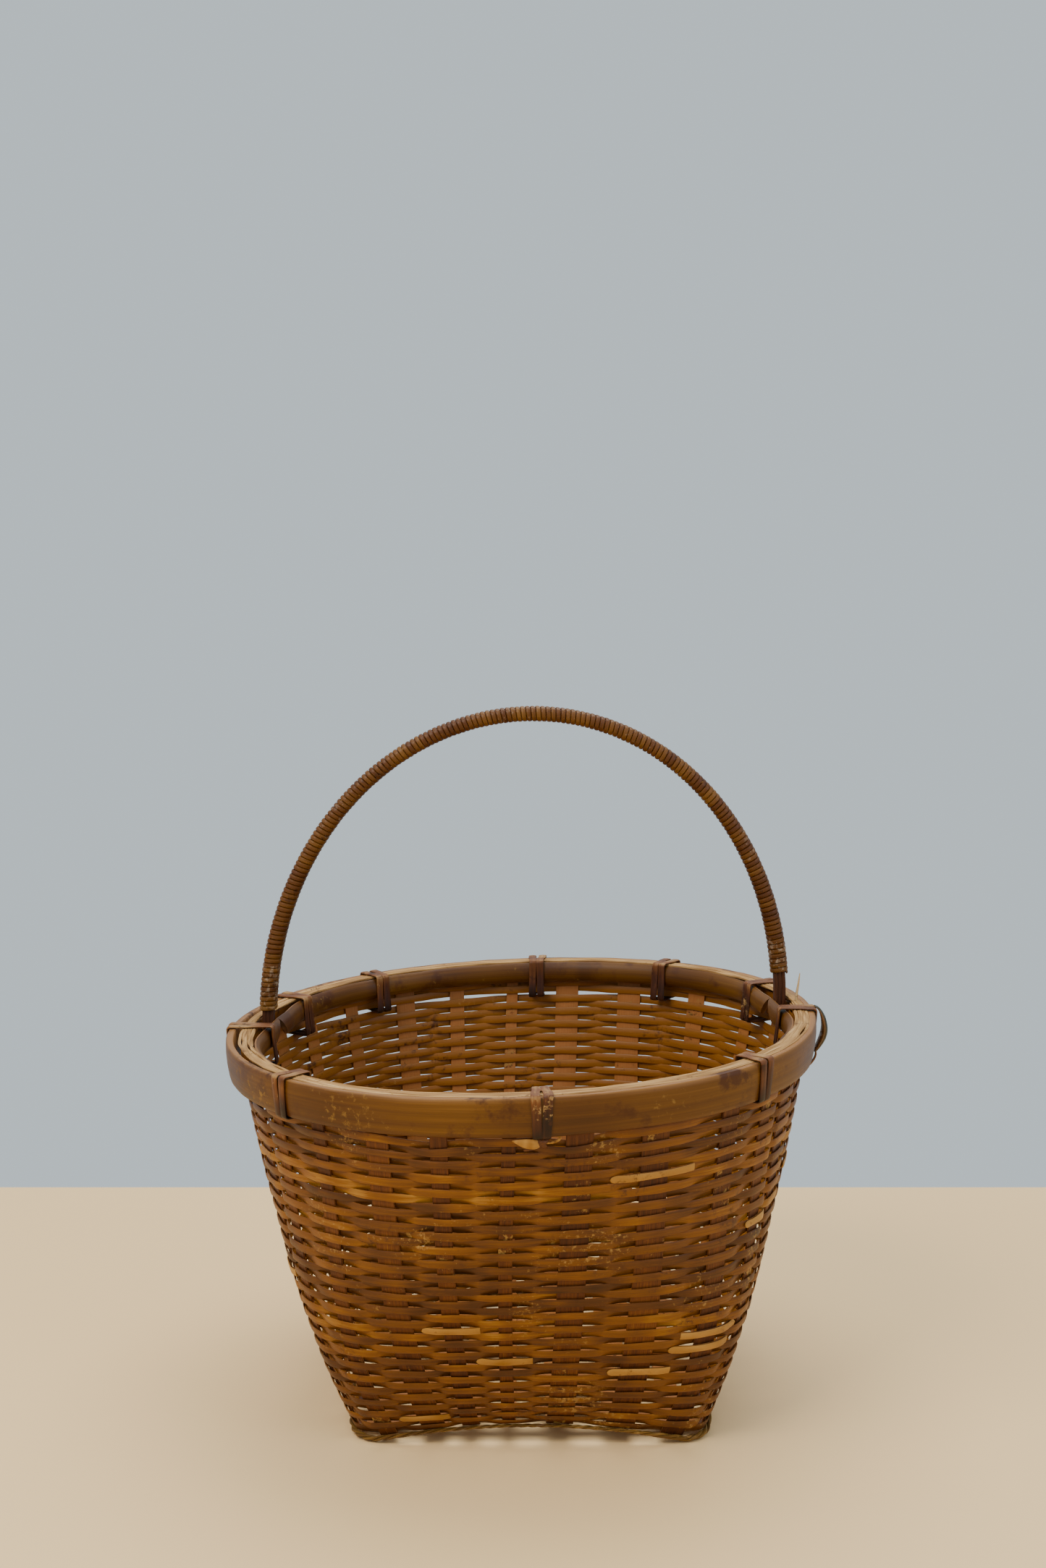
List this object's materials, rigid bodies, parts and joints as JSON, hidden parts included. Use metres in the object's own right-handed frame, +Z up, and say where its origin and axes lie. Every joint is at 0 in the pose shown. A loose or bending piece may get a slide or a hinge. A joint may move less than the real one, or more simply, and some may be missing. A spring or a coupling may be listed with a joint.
{
  "type": "woven bamboo basket",
  "caption": "Square-based basket woven from bamboo splints, with a bound two-hoop rim, corner feet and a fixed arched handle.",
  "frame": {"origin": "on the surface the basket stands on, under the middle of its base", "axes": "+Z up; -Y is the front, the side that carries the knotted lashing; the handle's arch lies across X"},
  "size_m": [0.3309, 0.3224, 0.3751],
  "materials": {
    "stake_bamboo": "satin, dark red-brown with fine lengthwise grain",
    "weaver_bamboo": "satin, golden amber to honey brown, scuffed",
    "binding_cane": "satin, dull olive brown",
    "hoop_bamboo": "worn satin, tan with brown blotches and lengthwise fibres",
    "filler_straw": "dry matte, pale straw",
    "lashing_cane": "satin, brown cane",
    "bamboo_skin": "glossy, green-black",
    "core_bamboo": "satin, dark brown",
    "handle_cane": "satin, orange-brown, worn lighter on top"
  },
  "bodies": {
    "root": {"stake_fb_1": "stake_bamboo", "stake_fb_2": "stake_bamboo", "stake_fb_3": "stake_bamboo", "stake_fb_4": "stake_bamboo", "stake_fb_5": "stake_bamboo", "stake_fb_6": "stake_bamboo", "stake_fb_7": "stake_bamboo", "stake_lr_1": "stake_bamboo", "stake_lr_2": "stake_bamboo", "stake_lr_3": "stake_bamboo", "stake_lr_4": "stake_bamboo", "stake_lr_5": "stake_bamboo", "stake_lr_6": "stake_bamboo", "stake_lr_7": "stake_bamboo", "base_binding": "binding_cane", "weaver_band_1": "weaver_bamboo", "weaver_band_2": "weaver_bamboo", "weaver_band_3": "weaver_bamboo", "weaver_band_4": "weaver_bamboo", "weaver_band_5": "weaver_bamboo", "weaver_band_6": "weaver_bamboo", "weaver_band_7": "weaver_bamboo", "weaver_band_8": "weaver_bamboo", "weaver_band_9": "weaver_bamboo", "weaver_band_rim": "weaver_bamboo", "rim_outer_hoop": "hoop_bamboo", "rim_inner_hoop": "hoop_bamboo", "rim_filler_top": "filler_straw", "rim_filler_front": "filler_straw", "rim_filler_back": "filler_straw", "lashing_front": "lashing_cane", "lashing_front_right": "lashing_cane", "lashing_right": "lashing_cane", "lashing_right_back": "lashing_cane", "lashing_back_right": "lashing_cane", "lashing_back": "lashing_cane", "lashing_back_left": "lashing_cane", "lashing_left_back": "lashing_cane", "lashing_left": "lashing_cane", "lashing_front_left": "lashing_cane", "knot_front": "lashing_cane", "ear_splint": "bamboo_skin", "ear_cane": "lashing_cane", "handle_core_outer": "core_bamboo", "handle_core_middle": "core_bamboo", "handle_core_inner": "core_bamboo", "handle_wrap": "handle_cane"}
  },
  "joints": []
}
